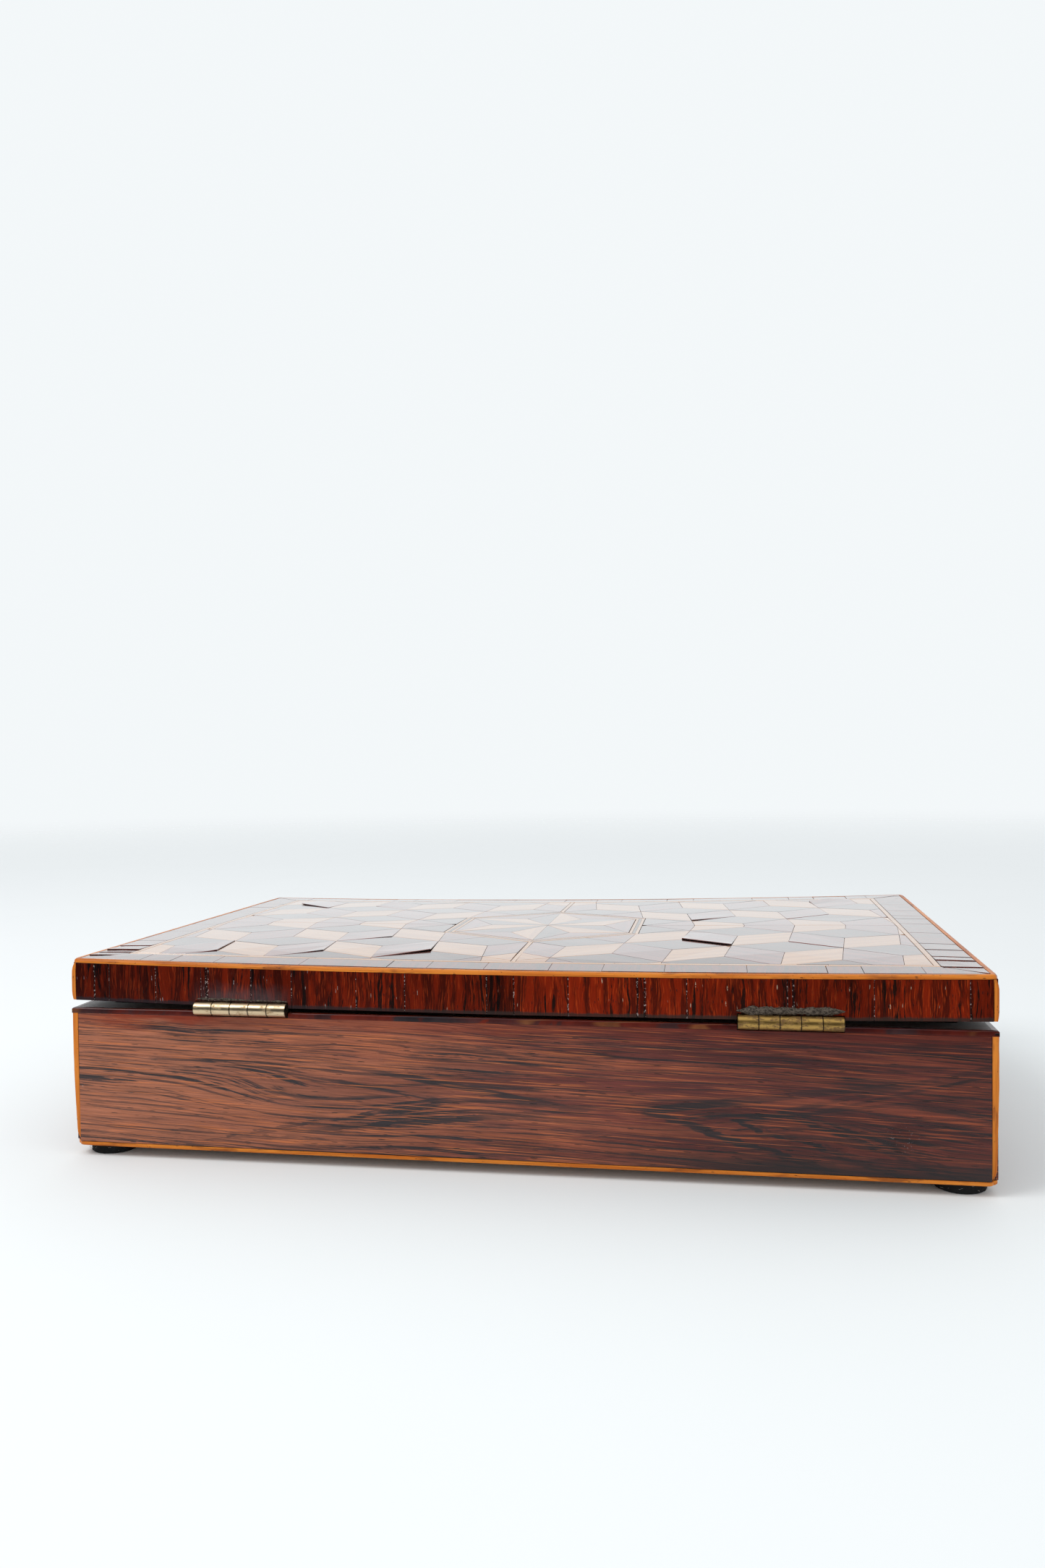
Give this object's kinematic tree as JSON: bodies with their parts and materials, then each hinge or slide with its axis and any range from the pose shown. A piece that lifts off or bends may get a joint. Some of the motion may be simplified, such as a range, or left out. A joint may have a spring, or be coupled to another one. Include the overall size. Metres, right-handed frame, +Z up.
{
  "type": "inlaid hinged box",
  "caption": "Low rectangular hinged box: veneered case edged with pale stringing, shallow lid inlaid with tumbling blocks around a pointed star, brass butt hinges, felt feet.",
  "frame": {"origin": "centre of the bounding box, on the surface that the felt feet stand on", "axes": "+Z up; front with the keyhole faces -Y, hinges at the back +Y; +X to the right seen from the front"},
  "size_m": [0.3, 0.1928, 0.0692],
  "materials": {
    "carcase_pine": "planed softwood boards, darkened with age",
    "long_grain_rosewood": "long-grain rosewood veneer under worn French polish",
    "cross_grain_rosewood": "cross-grain rosewood veneer, dark, glossy, with open pores",
    "boxwood_string": "boxwood stringing gone orange under shellac",
    "block_parquetry": "lozenges of light, middle and dark wood under gloss polish",
    "lining_velvet": "dark red velvet",
    "black_felt": "black self-adhesive felt",
    "bright_brass": "pale rubbed brass",
    "tarnished_brass": "brown tarnished brass with old wax",
    "lock_brass": "dull brass",
    "bolt_steel": "grey filed steel"
  },
  "bodies": {
    "base": {"base_front_wall": "carcase_pine", "base_back_wall": "carcase_pine", "base_left_wall": "carcase_pine", "base_right_wall": "carcase_pine", "base_bottom_board": "carcase_pine", "base_front_veneer": "long_grain_rosewood", "base_back_veneer": "long_grain_rosewood", "base_left_veneer": "long_grain_rosewood", "base_right_veneer": "long_grain_rosewood", "base_corner_string_front_left": "boxwood_string", "base_corner_string_front_right": "boxwood_string", "base_corner_string_back_left": "boxwood_string", "base_corner_string_back_right": "boxwood_string", "base_bottom_string": "boxwood_string", "felt_foot_front_left": "black_felt", "felt_foot_front_right": "black_felt", "felt_foot_back_left": "black_felt", "felt_foot_back_right": "black_felt", "base_lining": "lining_velvet", "left_hinge_base_leaf": "tarnished_brass", "left_hinge_pin": "tarnished_brass", "left_hinge_base_screw_1": "tarnished_brass", "left_hinge_base_screw_2": "tarnished_brass", "right_hinge_base_leaf": "bright_brass", "right_hinge_pin": "bright_brass", "right_hinge_base_screw_1": "bright_brass", "right_hinge_base_screw_2": "bright_brass", "lock_case": "lock_brass", "keyhole_escutcheon": "lock_brass"},
    "lid": {"lid_board": "carcase_pine", "lid_front_rail": "carcase_pine", "lid_back_rail": "carcase_pine", "lid_left_rail": "carcase_pine", "lid_right_rail": "carcase_pine", "lid_front_edge_veneer": "cross_grain_rosewood", "lid_back_edge_veneer": "cross_grain_rosewood", "lid_left_edge_veneer": "cross_grain_rosewood", "lid_right_edge_veneer": "cross_grain_rosewood", "lid_corner_string_front_left": "boxwood_string", "lid_corner_string_front_right": "boxwood_string", "lid_corner_string_back_left": "boxwood_string", "lid_corner_string_back_right": "boxwood_string", "lid_top_string": "boxwood_string", "lid_front_crossband": "cross_grain_rosewood", "lid_back_crossband": "cross_grain_rosewood", "lid_left_crossband": "cross_grain_rosewood", "lid_right_crossband": "cross_grain_rosewood", "lid_field_string": "boxwood_string", "parquetry_field": "block_parquetry", "star_string": "boxwood_string", "star_panel": "block_parquetry", "lid_lining": "lining_velvet", "left_hinge_lid_leaf": "tarnished_brass", "left_hinge_lid_screw_1": "tarnished_brass", "left_hinge_lid_screw_2": "tarnished_brass", "right_hinge_lid_leaf": "bright_brass", "right_hinge_lid_screw_1": "bright_brass", "right_hinge_lid_screw_2": "bright_brass", "lock_link_plate": "lock_brass"},
    "bolt": {"lock_bolt": "bolt_steel"}
  },
  "joints": [
    {"name": "lid_hinge", "type": "hinge", "parent": "base", "child": "lid", "pos_m": [0, 0.0942, 0.0515], "axis": [-1, 0, 0], "range_deg": [0, 180]},
    {"name": "bolt_slide", "type": "slide", "parent": "base", "child": "bolt", "axis": [1, 0, 0], "range_m": [0, 0.004]}
  ]
}
